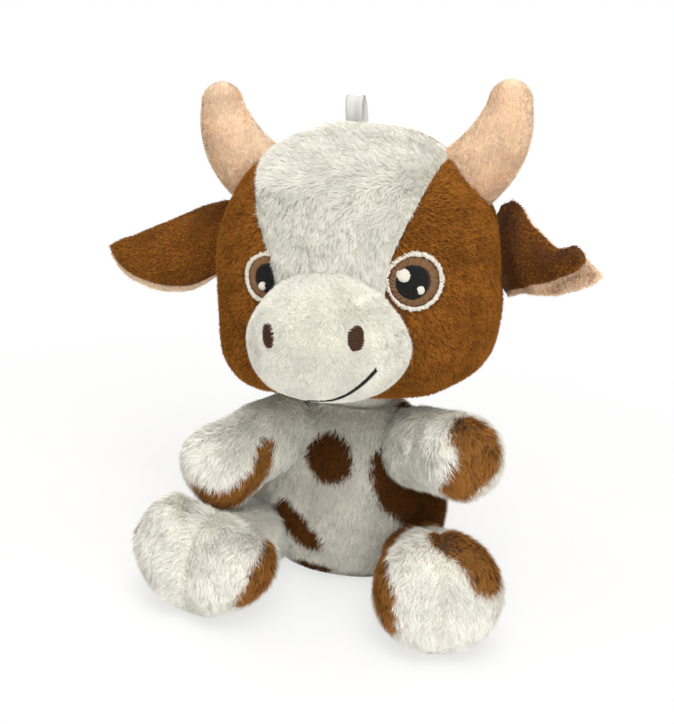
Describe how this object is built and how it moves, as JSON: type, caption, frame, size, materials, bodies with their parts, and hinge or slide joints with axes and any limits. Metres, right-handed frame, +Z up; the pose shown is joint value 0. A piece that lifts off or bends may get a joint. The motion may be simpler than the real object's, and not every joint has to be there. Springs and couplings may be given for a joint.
{
  "type": "plush cow",
  "caption": "Sitting plush cow with a big round head, raised muzzle, curved horns, drooping ears, embroidered face, short stuffed arms and legs, a tail and a ribbon hang loop.",
  "frame": {"origin": "middle of the flat seat under the torso, on the floor", "axes": "+Z up; the cow faces -Y and its left side is +X; the seat faces -Z"},
  "size_m": [0.1863, 0.1308, 0.1965],
  "materials": {
    "white_plush": "long white pile",
    "brown_plush": "long brown pile",
    "peach_velboa": "short velvety pile",
    "polyester_stuffing": "loose fibre",
    "black_thread": "satin stitch",
    "brown_thread": "satin stitch",
    "white_ribbon": "sheer satin"
  },
  "bodies": {
    "torso": {"body_base": "white_plush", "body_front": "white_plush", "body_back": "white_plush", "body_stuffing": "polyester_stuffing"},
    "neck": {"neck_stuffing": "polyester_stuffing"},
    "head": {"head_side_left": "brown_plush", "head_side_right": "brown_plush", "head_back": "brown_plush", "head_blaze": "white_plush", "head_stuffing": "polyester_stuffing", "muzzle_cover": "white_plush", "muzzle_stuffing": "polyester_stuffing", "left_horn_cover": "peach_velboa", "left_horn_stuffing": "polyester_stuffing", "right_horn_cover": "peach_velboa", "right_horn_stuffing": "polyester_stuffing", "left_eye": "black_thread", "right_eye": "black_thread", "left_nostril": "brown_thread", "right_nostril": "brown_thread", "smile_stitch": "black_thread"},
    "left_ear": {"left_ear_back": "brown_plush", "left_ear_lining": "peach_velboa"},
    "right_ear": {"right_ear_back": "brown_plush", "right_ear_lining": "peach_velboa"},
    "loop": {"hang_loop": "white_ribbon"},
    "left_arm": {"left_arm_upper": "white_plush", "left_arm_lower": "white_plush", "left_arm_stuffing": "polyester_stuffing"},
    "right_arm": {"right_arm_upper": "white_plush", "right_arm_lower": "white_plush", "right_arm_stuffing": "polyester_stuffing"},
    "left_leg": {"left_leg_outer": "white_plush", "left_leg_inner": "white_plush", "left_leg_stuffing": "polyester_stuffing"},
    "right_leg": {"right_leg_outer": "white_plush", "right_leg_inner": "white_plush", "right_leg_stuffing": "polyester_stuffing"},
    "tail": {"tail": "brown_plush", "tail_tuft": "white_plush"}
  },
  "joints": [
    {"name": "head_turn", "type": "hinge", "parent": "torso", "child": "neck", "pos_m": [0, -0.009, 0.0785], "axis": [0, 0, 1], "range_deg": [-20, 20], "stiffness_Nm_per_rad": 0.3},
    {"name": "head_nod", "type": "hinge", "parent": "neck", "child": "head", "pos_m": [0, -0.009, 0.0785], "axis": [0.9945, -0.1045, 0], "range_deg": [-10, 10], "stiffness_Nm_per_rad": 0.6},
    {"name": "left_ear_flap", "type": "hinge", "parent": "head", "child": "left_ear", "pos_m": [0.04823, -0.00261, 0.13667], "axis": [-0.1634, 0.5199, 0.8384], "range_deg": [-10, 30], "stiffness_Nm_per_rad": 0.02},
    {"name": "right_ear_flap", "type": "hinge", "parent": "head", "child": "right_ear", "pos_m": [-0.05922, 0.00869, 0.12245], "axis": [0.0447, 0.4981, 0.866], "range_deg": [-10, 35], "stiffness_Nm_per_rad": 0.02},
    {"name": "loop_flop", "type": "hinge", "parent": "head", "child": "loop", "pos_m": [-0.01123, 0.00465, 0.17417], "axis": [0.986, -0.1036, 0.1305], "range_deg": [-40, 35], "stiffness_Nm_per_rad": 0.001},
    {"name": "left_shoulder", "type": "hinge", "parent": "torso", "child": "left_arm", "pos_m": [0.02264, -0.01807, 0.058], "axis": [1, 0, 0], "range_deg": [-4, 18], "stiffness_Nm_per_rad": 0.08},
    {"name": "right_shoulder", "type": "hinge", "parent": "torso", "child": "right_arm", "pos_m": [-0.02264, -0.01807, 0.058], "axis": [1, 0, 0], "range_deg": [-35, 0], "stiffness_Nm_per_rad": 0.08},
    {"name": "left_hip", "type": "hinge", "parent": "torso", "child": "left_leg", "pos_m": [0.02969, -0.02189, 0.0144], "axis": [0, 0, 1], "range_deg": [-10, 15], "stiffness_Nm_per_rad": 0.1},
    {"name": "right_hip", "type": "hinge", "parent": "torso", "child": "right_leg", "pos_m": [-0.02969, -0.02189, 0.0144], "axis": [0, 0, 1], "range_deg": [-5, 10], "stiffness_Nm_per_rad": 0.1},
    {"name": "tail_swing", "type": "hinge", "parent": "torso", "child": "tail", "pos_m": [0, 0.03129, 0.037], "axis": [0, 1, 0], "range_deg": [-40, 40], "stiffness_Nm_per_rad": 0.01}
  ]
}
